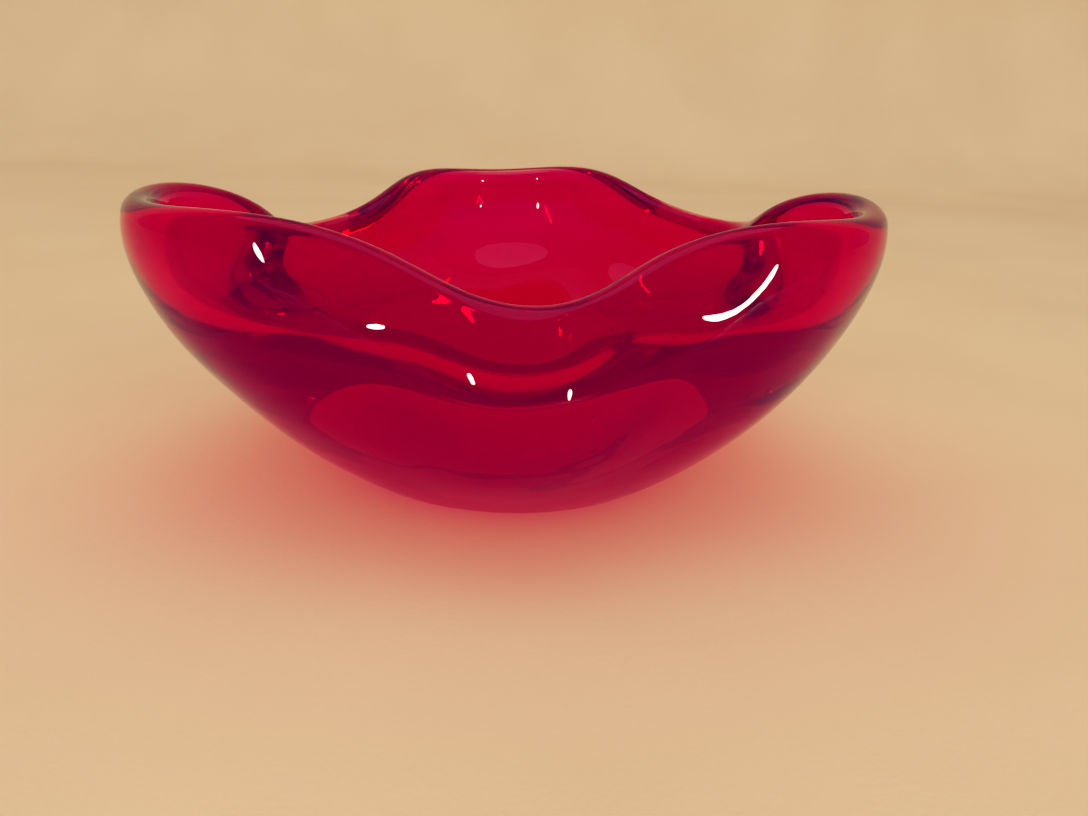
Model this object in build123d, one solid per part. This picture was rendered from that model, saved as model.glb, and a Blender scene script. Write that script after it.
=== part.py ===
from build123d import *
import os
from math import atan2, cos, degrees, radians, sin

# A hand-formed, three-lobed bowl of cased glass, in millimetres. A ruby gather lines the hollow, and a
# clear gather cases it outside, under the foot and over the lip. The two were fused while hot.
# Origin: centre of the ground foot, on the plane it stands on. +Z up, with one lobe towards +Y.

# ---- driving dimensions ----
reach = 100.0                     # nominal reach of a lobe from the axis: every other size follows it
foot_radius = 0.48 * reach        # ground flat that the bowl stands on
foot_slope = 30.5                 # degrees above the table at which the wall leaves the foot
foot_swell = 0.425 * reach        # how far the wall keeps to that slope
lip_width = 0.090 * reach         # width of the fire-polished lip
floor_height = 0.30 * reach       # hollow's floor above the table: the base is very thick and heavy
casing_at_foot = 0.050 * reach    # depth of clear glass over the ruby, beside the foot
casing_in_wall = 0.025 * reach    # the same in the wall and over the lip
lobe_azimuth = 93.7               # middle of the back lobe, degrees from +X

# The lip's centre line: a mean value and waves round the bowl, as (folds, cosine part, sine part) in
# hundredths of the reach. Three folds are the lobes, six and nine flatten their tops, and one and two
# are the drift of hand work.
lip_mean_radius = 0.875
lip_radius_waves = [(3, 9.5, 0), (6, 4.5, 0), (9, -1.6, 0), (1, -2.5, -1.0), (2, -2.5, -4.9)]
lip_mean_height = 0.770
lip_height_waves = [(3, 8.1, 0), (6, -2.7, 0), (9, -0.4, 0), (1, -0.7, -1.7), (2, -1.4, -0.9)]

# Direction of the wall where it meets the lip, in degrees: 90 is upright, more leans over the hollow.
# Each keep is how far below the lip the wall holds that direction. Under the dips the outside holds it
# longest, which gives the wall a belly there.
outer_lean_at_lobe = 100.5
outer_lean_at_dip = 136
inner_lean_at_lobe = 97
inner_lean_at_dip = 118
outer_keep_at_lobe = 0.20 * reach
outer_keep_at_dip = 0.36 * reach
hollow_keep_at_lobe = 0.32 * reach
hollow_keep_at_dip = 0.26 * reach

# How far out the hollow's floor stays nearly level.
floor_spread_at_lobe = 0.56 * reach
floor_spread_at_dip = 0.48 * reach

colour_line = 40                  # degrees up the inside of the lip to where the ruby begins
floor_disc = 0.06 * reach         # radius of the level disc in the middle of the hollow's floor

azimuth_steps = 48                # points round a ring
wall_steps = 9                    # rings up a wall
lip_steps = 4                     # rings over the lip
nudge = 0.0001                    # share of a curve, to read its course from


def waves(mean, parts, azimuth):
    """Mean value plus its waves round the bowl, in millimetres."""
    turn = radians(azimuth - lobe_azimuth)
    drift = sum(c * cos(folds * turn) + s * sin(folds * turn) for folds, c, s in parts)
    return reach * (mean + drift / 100)


def blend(at_lobe, at_dip, azimuth):
    """A value that changes smoothly from the middle of each lobe to the middle of each dip."""
    share = 0.5 + 0.5 * cos(3 * radians(azimuth - lobe_azimuth))
    return at_dip + (at_lobe - at_dip) * share


def step(point, direction, distance):
    """The point (radius, height) moved some way in a direction given in degrees."""
    return point[0] + distance * cos(radians(direction)), point[1] + distance * sin(radians(direction))


def bezier(corners, t):
    """Point (radius, height) on the cubic Bezier curve with these four corners."""
    shares = ((1 - t) ** 3, 3 * t * (1 - t) ** 2, 3 * t * t * (1 - t), t ** 3)
    return tuple(sum(share * corner[i] for share, corner in zip(shares, corners)) for i in (0, 1))


def lip_point(azimuth, direction):
    """Point on the round lip, seen from its centre in a direction given in degrees."""
    centre = (
        waves(lip_mean_radius, lip_radius_waves, azimuth),
        waves(lip_mean_height, lip_height_waves, azimuth) - lip_width / 2,
    )
    return step(centre, direction, lip_width / 2)


def outer_lean(azimuth):
    return blend(outer_lean_at_lobe, outer_lean_at_dip, azimuth)


def inner_lean(azimuth):
    return blend(inner_lean_at_lobe, inner_lean_at_dip, azimuth)


def outer_wall(azimuth, t):
    """Outside of the bowl, from the foot (t = 0) to the lip (t = 1)."""
    foot = (foot_radius, 0)
    top = lip_point(azimuth, outer_lean(azimuth) - 90)
    keep = blend(outer_keep_at_lobe, outer_keep_at_dip, azimuth)
    return bezier((foot, step(foot, foot_slope, foot_swell), step(top, outer_lean(azimuth), -keep), top), t)


def lip_outside(azimuth, t):
    """Over the lip, from the outer wall (t = 0) to the colour line (t = 1)."""
    start = outer_lean(azimuth) - 90
    end = inner_lean(azimuth) + 90 - colour_line
    return lip_point(azimuth, start + (end - start) * t)


def lip_inside(azimuth, t):
    """Down the inside of the lip, from the colour line (t = 0) to the hollow's wall (t = 1)."""
    return lip_point(azimuth, inner_lean(azimuth) + 90 - colour_line * (1 - t))


def hollow_wall(azimuth, t):
    """Inside of the bowl, from the lip (t = 0) to the axis (t = 1)."""
    top = lip_point(azimuth, inner_lean(azimuth) + 90)
    keep = blend(hollow_keep_at_lobe, hollow_keep_at_dip, azimuth)
    floor_edge = (blend(floor_spread_at_lobe, floor_spread_at_dip, azimuth), floor_height)
    return bezier((top, step(top, inner_lean(azimuth), -keep), floor_edge, (0, floor_height)), t)


def under(curve, azimuth, t, depth):
    """The point at some depth in the glass below a curve of the outside."""
    before, after = curve(azimuth, t - nudge), curve(azimuth, t + nudge)
    course = degrees(atan2(after[1] - before[1], after[0] - before[0]))
    return step(curve(azimuth, t), course + 90, depth)


def ruby_wall(azimuth, t):
    """Where ruby meets clear in the wall, from beside the foot (t = 0) to the lip (t = 1)."""
    depth = casing_in_wall + (casing_at_foot - casing_in_wall) * (1 - t) ** 2
    return under(outer_wall, azimuth, t, depth)


def ruby_lip(azimuth, t):
    """Where ruby meets clear in the lip, from the wall (t = 0) to the colour line (t = 1)."""
    return under(lip_outside, azimuth, t, casing_in_wall * (1 - t ** 3))


# ---- solids ----

def ring(curve, t):
    """Closed curve through a section curve's point at every azimuth."""
    points = []
    for i in range(azimuth_steps):
        azimuth = 360 * i / azimuth_steps
        radius, height = curve(azimuth, t)
        points.append((radius * cos(radians(azimuth)), radius * sin(radians(azimuth)), height))
    knots = [i / azimuth_steps for i in range(azimuth_steps + 1)]
    return Wire([Edge.make_spline(points, periodic=True, parameters=knots)])


def rings(curve, steps):
    """Rings at even steps along a section curve, between its two ends."""
    return [ring(curve, i / steps) for i in range(1, steps)]


def skin(wires):
    """Smooth face through a row of rings."""
    return Shell.make_loft(wires).faces()


def outside(colour_ring):
    """Foot, outer wall and lip, up to the colour line."""
    foot = ring(outer_wall, 0)
    lip_start = ring(lip_outside, 0)
    wall = [foot] + rings(outer_wall, wall_steps) + [lip_start]
    return [Face(foot)] + skin(wall + rings(lip_outside, lip_steps) + [colour_ring])


def hollow(colour_ring):
    """Inside of the bowl, from the colour line down to the floor."""
    lip_end = ring(hollow_wall, 0)
    floor = ring(lambda azimuth, t: (floor_disc, floor_height), 0)
    lip = [colour_ring] + rings(lip_inside, 2) + [lip_end]
    return skin(lip + rings(hollow_wall, wall_steps) + [floor]) + [Face(floor)]


def boundary(colour_ring):
    """The fused face between the two gathers, from the ruby's level underside to the colour line."""
    underside = ring(ruby_wall, 0)
    lip_start = ring(ruby_lip, 0)
    wall = [underside] + rings(ruby_wall, wall_steps) + [lip_start]
    return [Face(underside)] + skin(wall + rings(ruby_lip, lip_steps) + [colour_ring])


def solid(faces):
    return Solid(Shell(faces))


colour_ring = ring(lip_inside, 0)
shared = boundary(colour_ring)
parts = {
    "clear_casing": solid(outside(colour_ring) + shared),
    "ruby_core": solid(hollow(colour_ring) + shared),
}

os.makedirs("parts", exist_ok=True)
for name, part in parts.items():
    part.label = name
    export_step(part, f"parts/{name}.step")
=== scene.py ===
import math

import bmesh
import bpy
import numpy as np
from mathutils import Matrix, Quaternion, Vector


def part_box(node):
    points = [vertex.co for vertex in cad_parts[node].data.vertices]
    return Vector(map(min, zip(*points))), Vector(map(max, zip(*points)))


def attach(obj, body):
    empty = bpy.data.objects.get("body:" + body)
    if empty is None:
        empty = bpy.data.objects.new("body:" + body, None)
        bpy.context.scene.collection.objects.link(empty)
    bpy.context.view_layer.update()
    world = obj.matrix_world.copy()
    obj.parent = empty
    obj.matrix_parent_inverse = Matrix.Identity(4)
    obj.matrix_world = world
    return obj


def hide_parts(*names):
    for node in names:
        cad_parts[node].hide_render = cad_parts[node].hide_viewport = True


# A hand-formed, three-lobed bowl of ruby glass cased in clear glass, on a pale sweep in soft light.
# Lengths are in metres. Shape values are in reaches: the reach is how far a lobe nominally stands out
# from the axis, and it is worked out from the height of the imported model.

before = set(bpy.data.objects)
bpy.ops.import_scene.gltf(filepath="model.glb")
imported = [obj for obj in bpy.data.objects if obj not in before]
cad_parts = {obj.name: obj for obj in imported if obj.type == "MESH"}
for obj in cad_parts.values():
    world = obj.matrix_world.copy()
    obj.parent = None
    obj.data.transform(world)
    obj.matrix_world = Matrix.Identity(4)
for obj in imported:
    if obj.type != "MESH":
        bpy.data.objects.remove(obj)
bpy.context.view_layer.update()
OVERALL_HEIGHT = 0.857             # up to the top of the highest lobe
casing_low, casing_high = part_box("clear_casing")
REACH = (casing_high[2] - casing_low[2]) / OVERALL_HEIGHT
MM = 0.001

# ---- shape of the bowl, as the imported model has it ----

FOOT_RADIUS = 0.48
FOOT_SLOPE = 30.5                  # degrees
FOOT_SWELL = 0.425
LIP_WIDTH = 0.090
FLOOR_HEIGHT = 0.30
FLOOR_SPREAD_AT_LOBE = 0.56
FLOOR_SPREAD_AT_DIP = 0.48
CASING_AT_FOOT = 0.050
CASING_IN_WALL = 0.025
LOBE_AZIMUTH = 93.7                # degrees from +X
LIP_MEAN_RADIUS = 0.875
LIP_RADIUS_WAVES = [               # folds round the bowl, cosine part, sine part
    (3, 0.095, 0),
    (6, 0.045, 0),
    (9, -0.016, 0),
    (1, -0.025, -0.010),
    (2, -0.025, -0.049),
]
LIP_MEAN_HEIGHT = 0.770
LIP_HEIGHT_WAVES = [
    (3, 0.081, 0),
    (6, -0.027, 0),
    (9, -0.004, 0),
    (1, -0.007, -0.017),
    (2, -0.014, -0.009),
]
OUTER_LEAN_AT_LOBE = 100.5         # degrees
OUTER_LEAN_AT_DIP = 136
INNER_LEAN_AT_LOBE = 97
INNER_LEAN_AT_DIP = 118
OUTER_KEEP_AT_LOBE = 0.20
OUTER_KEEP_AT_DIP = 0.36
HOLLOW_KEEP_AT_LOBE = 0.32
HOLLOW_KEEP_AT_DIP = 0.26
COLOUR_LINE = 40                   # degrees up the inside of the lip

# Faint unevenness of hand work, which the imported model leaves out.
OUTER_RIPPLE = 0.003
HOLLOW_RIPPLE = 0.003
NUDGE = 0.0001                     # share of a curve, to read its course from

AZIMUTHS = 320                     # columns of faces round the bowl
turn = np.radians(np.arange(AZIMUTHS) * 360 / AZIMUTHS)
lobe_turn = turn - math.radians(LOBE_AZIMUTH)
lobe_share = 0.5 + 0.5 * np.cos(3 * lobe_turn)


def waves(mean, parts):
    """A mean value plus its waves round the bowl."""
    total = mean
    for folds, cosine, sine in parts:
        total = total + cosine * np.cos(folds * lobe_turn) + sine * np.sin(folds * lobe_turn)
    return total


def blend(at_lobe, at_dip):
    """A value that changes smoothly from the middle of each lobe to the middle of each dip."""
    return at_dip + (at_lobe - at_dip) * lobe_share


def step(point, direction, distance):
    """The point (radius, height) moved some way in a direction given in degrees."""
    across, up = np.cos(np.radians(direction)), np.sin(np.radians(direction))
    return point[0] + distance * across, point[1] + distance * up


def bezier(corners, t):
    """Point (radius, height) on the cubic Bezier curve with these four corners."""
    shares = ((1 - t) ** 3, 3 * t * (1 - t) ** 2, 3 * t * t * (1 - t), t ** 3)
    return tuple(sum(share * corner[i] for share, corner in zip(shares, corners)) for i in (0, 1))


def ripple(t, size, folds, twist):
    """Faint waves of hand work over a wall, which fade out at both of its ends."""
    fade = math.sin(math.pi * t) ** 2
    broad = np.cos(folds * turn + twist * t)
    fine = 0.5 * np.cos((folds + 4) * turn - 1.7 * twist * t)
    return size * fade * (broad + fine)


lip_centre = (
    waves(LIP_MEAN_RADIUS, LIP_RADIUS_WAVES),
    waves(LIP_MEAN_HEIGHT, LIP_HEIGHT_WAVES) - LIP_WIDTH / 2,
)
outer_lean = blend(OUTER_LEAN_AT_LOBE, OUTER_LEAN_AT_DIP)
inner_lean = blend(INNER_LEAN_AT_LOBE, INNER_LEAN_AT_DIP)


def lip_point(direction):
    """Point on the round lip, seen from its centre in a direction given in degrees."""
    return step(lip_centre, direction, LIP_WIDTH / 2)


def outer_wall(t):
    """Outside of the bowl, from the foot (t = 0) to the lip (t = 1)."""
    foot = (FOOT_RADIUS, 0)
    top = lip_point(outer_lean - 90)
    above_foot = step(foot, FOOT_SLOPE, FOOT_SWELL)
    below_top = step(top, outer_lean, -blend(OUTER_KEEP_AT_LOBE, OUTER_KEEP_AT_DIP))
    radius, height = bezier((foot, above_foot, below_top, top), t)
    return radius + ripple(t, OUTER_RIPPLE, folds=5, twist=9), height


def lip_outside(t):
    """Over the lip, from the outer wall (t = 0) to the colour line (t = 1)."""
    start = outer_lean - 90
    end = inner_lean + 90 - COLOUR_LINE
    return lip_point(start + (end - start) * t)


def lip_inside(t):
    """Down the inside of the lip, from the colour line (t = 0) to the hollow's wall (t = 1)."""
    return lip_point(inner_lean + 90 - COLOUR_LINE * (1 - t))


def hollow_wall(t):
    """Inside of the bowl, from the lip (t = 0) to the axis (t = 1)."""
    top = lip_point(inner_lean + 90)
    below_top = step(top, inner_lean, -blend(HOLLOW_KEEP_AT_LOBE, HOLLOW_KEEP_AT_DIP))
    floor_edge = (blend(FLOOR_SPREAD_AT_LOBE, FLOOR_SPREAD_AT_DIP), FLOOR_HEIGHT)
    radius, height = bezier((top, below_top, floor_edge, (0, FLOOR_HEIGHT)), t)
    return radius, height + ripple(t, HOLLOW_RIPPLE, folds=4, twist=-8)


def under(curve, t, depth):
    """The point at some depth in the glass below a curve of the outside."""
    before, after = curve(t - NUDGE), curve(t + NUDGE)
    course = np.degrees(np.arctan2(after[1] - before[1], after[0] - before[0]))
    return step(curve(t), course + 90, depth)


def ruby_wall(t, gap=0.0):
    """Where ruby meets clear in the wall, from beside the foot (t = 0) to the lip (t = 1)."""
    depth = CASING_IN_WALL + (CASING_AT_FOOT - CASING_IN_WALL) * (1 - t) ** 2
    return under(outer_wall, t, depth + gap)


def ruby_lip(t, gap=0.0):
    """Where ruby meets clear in the lip, from the wall (t = 0) to the colour line (t = 1)."""
    return under(lip_outside, t, CASING_IN_WALL * (1 - t ** 3) + gap)


# ---- meshes ----

WALL_RINGS = 60
LIP_RINGS = 26
INNER_LIP_RINGS = 12
HOLLOW_RINGS = 70
DISC_SHARES = (0.12, 0.4, 0.7, 0.9, 0.985)
FOOT_BEVEL = 0.006                 # how far the foot's worn edge reaches in from its rim
BEVEL_TOP = 0.006                  # how far it reaches up the wall, as a share of the wall's curve
SHARP_EDGE = 25                    # degrees between two faces above which their edge looks sharp
LIP_EASE = 1.6                     # crowds the lip's rings towards the colour line
BESIDE_COLOUR_LINE = 0.01          # where the ruby's surface starts, just inside the colour line
HAIRLINE = 0.02 * MM / REACH       # gap between the gathers, so that no two faces lie on one another


def ring(point):
    """Vertices of one ring, from its radius and height at every azimuth."""
    radius, height = (np.broadcast_to(value, turn.shape) * REACH for value in point)
    return np.stack((radius * np.cos(turn), radius * np.sin(turn), height), axis=-1)


def rings(curve, steps, ease=1.0):
    """Rings along a curve after its first one. An ease above 1 crowds them towards the end."""
    return [ring(curve(1 - (1 - i / steps) ** ease)) for i in range(1, steps + 1)]


def closed_mesh(name, ring_list, start_pole, end_pole):
    """A closed mesh through a list of rings, with its first and last ring closed at a point on the axis."""
    count = len(ring_list)
    vertices = np.concatenate(ring_list + [np.array([start_pole, end_pole])])
    near = np.arange(AZIMUTHS)
    far = (near + 1) % AZIMUTHS
    faces = []
    for row in range(count - 1):
        low, high = row * AZIMUTHS, (row + 1) * AZIMUTHS
        faces += np.stack((low + near, low + far, high + far, high + near), axis=-1).tolist()
    last = (count - 1) * AZIMUTHS
    faces += np.stack((far, near, np.full(AZIMUTHS, count * AZIMUTHS)), axis=-1).tolist()
    faces += np.stack((last + near, last + far, np.full(AZIMUTHS, count * AZIMUTHS + 1)), axis=-1).tolist()
    mesh = bpy.data.meshes.new(name)
    mesh.from_pydata(vertices.tolist(), [], faces)
    mesh.shade_smooth()
    mesh.set_sharp_from_angle(angle=math.radians(SHARP_EDGE))
    piece = bpy.data.objects.new(name, mesh)
    bpy.context.collection.objects.link(piece)
    return piece


def mark(piece, label, rows):
    """Marks some rows of faces with an attribute, for the materials to read."""
    share = np.zeros(len(piece.data.polygons))
    for row in rows:
        share[row * AZIMUTHS:(row + 1) * AZIMUTHS] = 1
    layer = piece.data.attributes.new(label, "FLOAT", "FACE")
    layer.data.foreach_set("value", share)


def disc(edge):
    """Rings of a level disc, from near the axis out to its edge."""
    return [ring((edge[0] * share, edge[1])) for share in DISC_SHARES]


def boundary(gap):
    """Rings where the gathers meet, from the ruby's level underside to just short of the colour line."""
    wall = [ring(ruby_wall(0, gap))] + rings(lambda t: ruby_wall(t, gap), WALL_RINGS)
    lip = rings(lambda t: ruby_lip(t, gap), LIP_RINGS, LIP_EASE)
    return disc(ruby_wall(0, gap)) + wall + lip[:-1]


def make_casing():
    """The clear gather: its outside from the foot over the lip, and back down where it meets the ruby."""
    foot = disc((FOOT_RADIUS, 0)) + [ring((FOOT_RADIUS - FOOT_BEVEL, 0))]
    wall = [ring(outer_wall(BEVEL_TOP))] + rings(outer_wall, WALL_RINGS)
    outside = foot + wall + rings(lip_outside, LIP_RINGS, LIP_EASE)
    inside = boundary(0)[::-1]
    inner_pole = (0, 0, float(ruby_wall(0)[1][0]) * REACH)
    piece = closed_mesh("casing_glass", outside + inside, (0, 0, 0), inner_pole)
    count = len(outside) + len(inside)
    mark(piece, "fused", list(range(len(outside) - 1, count - 1)) + [count])
    mark(piece, "ground", list(range(len(foot))) + [count - 1])
    return piece


def make_core():
    """The ruby gather: up where it meets the casing, then down the hollow to the floor."""
    inside = boundary(HAIRLINE)
    lip = [ring(lip_inside(BESIDE_COLOUR_LINE))] + rings(lip_inside, INNER_LIP_RINGS)
    hollow = rings(hollow_wall, HOLLOW_RINGS)[:-1]
    under_pole = (0, 0, float(ruby_wall(0, HAIRLINE)[1][0]) * REACH)
    piece = closed_mesh("ruby_glass", inside + lip + hollow, under_pole, (0, 0, FLOOR_HEIGHT * REACH))
    count = len(inside) + len(lip) + len(hollow)
    mark(piece, "fused", list(range(len(inside))) + [count - 1])
    return piece


def add_bubble(mesh_data, azimuth, t, depth, size, stretch):
    """A closed void in the glass, drawn out along the wall. Its faces look into it, out of the glass."""
    column = round(azimuth / 360 * AZIMUTHS) % AZIMUTHS
    below, spot, above = (under(outer_wall, t + shift, depth) for shift in (-NUDGE, 0, NUDGE))
    along = np.array((above[0][column] - below[0][column], above[1][column] - below[1][column]))
    around = Matrix.Rotation(turn[column], 4, "Z")
    lean = Matrix.Rotation(math.atan2(along[0], along[1]), 4, "Y")
    place = Matrix.Translation((spot[0][column] * REACH, 0, spot[1][column] * REACH))
    shape = Matrix.Diagonal((size * MM, size * MM, size * stretch * MM, 1))
    sphere = bmesh.ops.create_uvsphere(
        mesh_data, u_segments=24, v_segments=16, radius=1, matrix=around @ place @ lean @ shape
    )
    faces = {face for vertex in sphere["verts"] for face in vertex.link_faces}
    bmesh.ops.reverse_faces(mesh_data, faces=list(faces))
    for face in faces:
        face.smooth = True


# Bubbles trapped in the ruby: azimuth, share up the wall, depth in reaches, radius in mm, stretch.
BUBBLES = [
    (236, 0.95, 0.042, 1.1, 1.7),
    (301, 0.62, 0.10, 0.30, 1.2),
    (262, 0.55, 0.16, 0.35, 1.1),
    (220, 0.50, 0.12, 0.25, 1.3),
    (322, 0.80, 0.06, 0.28, 1.4),
    (285, 0.30, 0.20, 0.35, 1.0),
    (100, 0.85, 0.05, 0.30, 1.5),
    (60, 0.40, 0.15, 0.40, 1.1),
    (160, 0.60, 0.12, 0.30, 1.2),
]


def add_bubbles(piece):
    """Puts every bubble into a piece's own mesh."""
    mesh_data = bmesh.new()
    mesh_data.from_mesh(piece.data)
    for azimuth, t, depth, size, stretch in BUBBLES:
        add_bubble(mesh_data, azimuth, t, depth, size, stretch)
    mesh_data.to_mesh(piece.data)
    mesh_data.free()


casing = make_casing()
core = make_core()
add_bubbles(core)


# ---- materials ----

GLASS_IOR = 1.52
RUBY_ABSORPTION = (6, 430, 230)    # red, green and blue, per metre


def new_material(name):
    """An empty node material, with its nodes and links."""
    material = bpy.data.materials.new(name)
    material.use_nodes = True
    material.node_tree.nodes.clear()
    return material, material.node_tree.nodes, material.node_tree.links


def noise(nodes, links, scale, stretch=(1, 1, 1), detail=2.0):
    """Noise over the object, with scale in features per metre, stretched along its axes."""
    where = nodes.new("ShaderNodeTexCoord")
    mapping = nodes.new("ShaderNodeMapping")
    mapping.inputs["Scale"].default_value = stretch
    texture = nodes.new("ShaderNodeTexNoise")
    texture.inputs["Scale"].default_value = scale
    texture.inputs["Detail"].default_value = detail
    links.new(where.outputs["Object"], mapping.inputs["Vector"])
    links.new(mapping.outputs[0], texture.inputs["Vector"])
    return texture.outputs["Fac"]


def spread(nodes, links, source, low, high):
    """Maps the middle of a noise to a range of values."""
    node = nodes.new("ShaderNodeMapRange")
    node.inputs["From Min"].default_value = 0.3
    node.inputs["From Max"].default_value = 0.7
    node.inputs["To Min"].default_value = low
    node.inputs["To Max"].default_value = high
    links.new(source, node.inputs["Value"])
    return node.outputs[0]


def math_node(nodes, links, operation, *inputs):
    """The result of a sum on numbers and other nodes' outputs."""
    node = nodes.new("ShaderNodeMath")
    node.operation = operation
    for socket, value in zip(node.inputs, inputs):
        if isinstance(value, (int, float)):
            socket.default_value = value
        else:
            links.new(value, socket)
    return node.outputs[0]


def attribute(nodes, label):
    """A face attribute, as one of the marks above."""
    node = nodes.new("ShaderNodeAttribute")
    node.attribute_name = label
    return node.outputs["Fac"]


def mixed_colour(nodes, links, factor, first, second):
    """A colour that runs from the first to the second as the factor rises."""
    node = nodes.new("ShaderNodeMix")
    node.data_type = "RGBA"
    links.new(factor, node.inputs["Factor"])
    node.inputs["A"].default_value = (*first, 1)
    node.inputs["B"].default_value = (*second, 1)
    return node.outputs["Result"]


def glass_surface(nodes, links, pale, deep, wear, ground):
    """Fire-polished glass: faint streaks of colour, faint cords in the surface, and a ground foot.

    The streaks run from a pale colour to a deep one, and wear is the most roughness off the foot.
    """
    surface = nodes.new("ShaderNodeBsdfPrincipled")
    surface.inputs["Transmission Weight"].default_value = 1
    surface.inputs["IOR"].default_value = GLASS_IOR
    streaks = noise(nodes, links, 22, (1, 1, 3.5), 3)
    streak_share = spread(nodes, links, streaks, 0, 1)
    links.new(mixed_colour(nodes, links, streak_share, pale, deep), surface.inputs["Base Color"])

    smears = noise(nodes, links, 55, (1, 1, 2), 4)
    polished = spread(nodes, links, smears, 0.0, wear)
    grain = spread(nodes, links, noise(nodes, links, 900, (1, 1, 1), 3), 0.30, 0.55)
    ground_roughness = math_node(nodes, links, "MULTIPLY", grain, ground)
    links.new(math_node(nodes, links, "MAXIMUM", polished, ground_roughness), surface.inputs["Roughness"])

    cords = nodes.new("ShaderNodeBump")
    cords.inputs["Strength"].default_value = 0.35
    cords.inputs["Distance"].default_value = 0.25 * MM
    links.new(noise(nodes, links, 45, (1, 1, 2.5), 1), cords.inputs["Height"])
    grit = nodes.new("ShaderNodeBump")
    grit.inputs["Distance"].default_value = 0.05 * MM
    links.new(ground, grit.inputs["Strength"])
    links.new(noise(nodes, links, 1800, (1, 1, 1), 2), grit.inputs["Height"])
    links.new(cords.outputs[0], grit.inputs["Normal"])
    links.new(grit.outputs[0], surface.inputs["Normal"])
    return surface.outputs[0]


def glass(name, pale, deep, wear, absorption=None):
    """Glass that bends no light where its faces are fused, and lets the lamps through to the floor."""
    material, nodes, links = new_material(name)
    surface = glass_surface(nodes, links, pale, deep, wear, attribute(nodes, "ground"))
    path = nodes.new("ShaderNodeLightPath")
    lighting = math_node(
        nodes, links, "MAXIMUM", path.outputs["Is Shadow Ray"], path.outputs["Is Diffuse Ray"]
    )
    clear = nodes.new("ShaderNodeBsdfTransparent")
    mix = nodes.new("ShaderNodeMixShader")
    links.new(math_node(nodes, links, "MAXIMUM", lighting, attribute(nodes, "fused")), mix.inputs[0])
    links.new(surface, mix.inputs[1])
    links.new(clear.outputs[0], mix.inputs[2])
    out = nodes.new("ShaderNodeOutputMaterial")
    links.new(mix.outputs[0], out.inputs["Surface"])
    if absorption:
        most = max(absorption)
        absorb = nodes.new("ShaderNodeVolumeAbsorption")
        absorb.inputs["Color"].default_value = (*(1 - value / most for value in absorption), 1)
        absorb.inputs["Density"].default_value = most
        links.new(absorb.outputs[0], out.inputs["Volume"])
    return material


clear_glass = glass("clear_glass", pale=(0.88, 0.46, 0.48), deep=(0.82, 0.34, 0.38), wear=0.02)
ruby_glass = glass(
    "ruby_glass", pale=(0.80, 0.14, 0.28), deep=(0.70, 0.08, 0.18), wear=0.035, absorption=RUBY_ABSORPTION
)
casing.data.materials.append(clear_glass)
core.data.materials.append(ruby_glass)

for piece, node, slot in ((casing, "clear_casing", "clear_glass"), (core, "ruby_core", "ruby_glass")):
    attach(piece, "root")
    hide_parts(node)


# ---- floor, light and camera ----

LAMP_COLOUR = (1.0, 0.86, 0.72)
WORLD_COLOUR = (1.0, 0.82, 0.58)
WORLD_STRENGTH = 0.82
MIRRORED_SHARE = 0.5               # how much of that strength the outside of the glass mirrors
CAMERA_AWAY = 2.951                # from the bowl's axis, in reaches
CAMERA_HEIGHT = 1.1225             # above the floor, in reaches
CAMERA_LOOKS_DOWN = 18.34          # degrees
CAMERA_ROLL = 2.18                 # degrees


def sweep_material():
    """A pale matt cloth-like surface, with a faint weave and faint patches of colour."""
    material, nodes, links = new_material("pale_sweep")
    surface = nodes.new("ShaderNodeBsdfPrincipled")
    patches = spread(nodes, links, noise(nodes, links, 6, (1, 1, 1), 4), 0, 1)
    colour = mixed_colour(nodes, links, patches, (0.84, 0.74, 0.61), (0.79, 0.68, 0.55))
    links.new(colour, surface.inputs["Base Color"])
    surface.inputs["Roughness"].default_value = 0.9
    weave = nodes.new("ShaderNodeBump")
    weave.inputs["Strength"].default_value = 0.25
    weave.inputs["Distance"].default_value = 0.3 * MM
    links.new(noise(nodes, links, 700, (1, 1, 1), 2), weave.inputs["Height"])
    links.new(weave.outputs[0], surface.inputs["Normal"])
    out = nodes.new("ShaderNodeOutputMaterial")
    links.new(surface.outputs[0], out.inputs["Surface"])
    return material


def make_sweep():
    """A pale floor that turns up into a wall behind."""
    half_width = 30 * REACH
    front, back = -25 * REACH, 9 * REACH
    bend = 3 * REACH
    top = 30 * REACH
    profile = [(front, 0), (back, 0)]
    for angle in np.linspace(0.1, math.pi / 2, 16):
        profile.append((back + bend * math.sin(angle), bend * (1 - math.cos(angle))))
    profile.append((back + bend, top))
    vertices = [(x, y, z) for y, z in profile for x in (-half_width, half_width)]
    faces = [(2 * i, 2 * i + 1, 2 * i + 3, 2 * i + 2) for i in range(len(profile) - 1)]
    mesh = bpy.data.meshes.new("sweep")
    mesh.from_pydata(vertices, [], faces)
    mesh.shade_smooth()
    mesh.materials.append(sweep_material())
    sweep = bpy.data.objects.new("sweep", mesh)
    bpy.context.collection.objects.link(sweep)


def make_light(name, azimuth, elevation, distance, width, height, power):
    """A soft warm oval light that faces the bowl from a direction in degrees, azimuth from +X.

    Its distance, width and height are in reaches.
    """
    light = bpy.data.lights.new(name, "AREA")
    light.shape = "ELLIPSE"
    light.size, light.size_y = width * REACH, height * REACH
    light.energy = power
    light.color = LAMP_COLOUR
    lamp = bpy.data.objects.new(name, light)
    a, e = math.radians(azimuth), math.radians(elevation)
    away = Vector((math.cos(a) * math.cos(e), math.sin(a) * math.cos(e), math.sin(e)))
    lamp.location = Vector((0, 0, 0.5 * REACH)) + away * distance * REACH
    lamp.rotation_mode = "QUATERNION"
    lamp.rotation_quaternion = (-away).to_track_quat("-Z", "Y")
    bpy.context.collection.objects.link(lamp)


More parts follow.
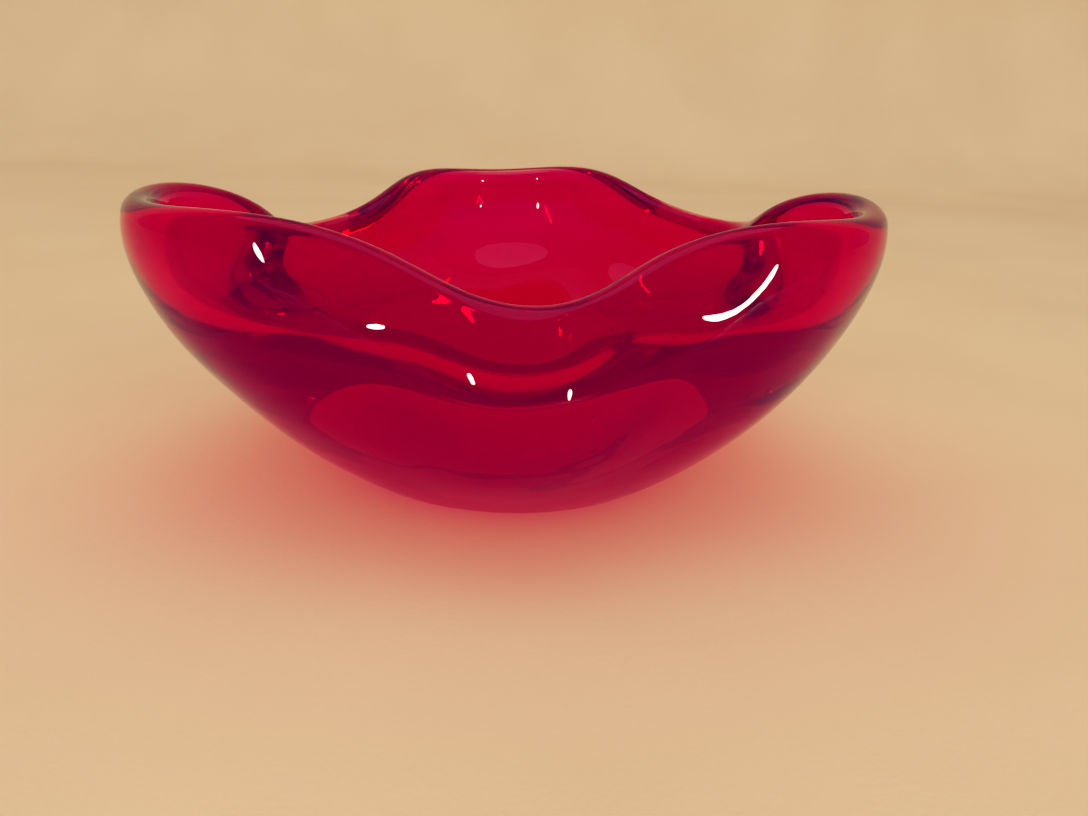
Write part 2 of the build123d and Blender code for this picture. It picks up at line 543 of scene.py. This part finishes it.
def make_world():
    """Even warm light from all round, mirrored by the outside of the glass at less than full strength."""
    world = bpy.data.worlds.new("studio")
    world.use_nodes = True
    nodes, links = world.node_tree.nodes, world.node_tree.links
    background = nodes["Background"]
    background.inputs["Color"].default_value = (*WORLD_COLOUR, 1)
    path = nodes.new("ShaderNodeLightPath")
    outside = math_node(nodes, links, "LESS_THAN", path.outputs["Transmission Depth"], 0.5)
    mirror = math_node(nodes, links, "MULTIPLY", path.outputs["Is Glossy Ray"], outside)
    loss = math_node(nodes, links, "MULTIPLY", mirror, 1 - MIRRORED_SHARE)
    strength = math_node(nodes, links, "SUBTRACT", 1, loss)
    links.new(math_node(nodes, links, "MULTIPLY", strength, WORLD_STRENGTH), background.inputs["Strength"])
    bpy.context.scene.world = world


def make_camera():
    """Close in front of the bowl, looking down into it, as a hand-held picture would."""
    camera = bpy.data.objects.new("camera", bpy.data.cameras.new("camera"))
    camera.data.sensor_width = 36
    camera.data.lens = 32.65
    camera.data.shift_x = 0.035
    camera.data.clip_start, camera.data.clip_end = 0.01, 20
    camera.location = (0, -CAMERA_AWAY * REACH, CAMERA_HEIGHT * REACH)
    camera.rotation_mode = "QUATERNION"
    pitch = Quaternion((1, 0, 0), math.radians(90 - CAMERA_LOOKS_DOWN))
    roll = Quaternion((0, 0, 1), math.radians(CAMERA_ROLL))
    camera.rotation_quaternion = pitch @ roll
    bpy.context.collection.objects.link(camera)
    bpy.context.scene.camera = camera


def set_film(scene):
    """The colour response of a small camera: deep reds lose their last green and gain a little blue."""
    scene.view_settings.view_transform = "Standard"
    scene.view_settings.use_curve_mapping = True
    curves = scene.view_settings.curve_mapping
    green, blue = curves.curves[1], curves.curves[2]
    green.points.new(0.05, 0.008)
    green.points.new(0.18, 0.16)
    blue.points[0].location = (0, 0.012)
    blue.points.new(0.15, 0.15)
    curves.update()


make_sweep()
make_world()
make_light("ceiling", azimuth=-90, elevation=89, distance=9, width=8, height=6, power=0.8)
make_light("lamp_right", azimuth=-50, elevation=4, distance=8, width=0.35, height=1.8, power=0.8)
make_light("lamp_left", azimuth=-114, elevation=12, distance=8, width=0.35, height=1.4, power=0.5)
make_camera()

scene = bpy.context.scene
set_film(scene)
scene.cycles.max_bounces = 48
scene.cycles.glossy_bounces = 32
scene.cycles.transmission_bounces = 48
scene.cycles.transparent_max_bounces = 64
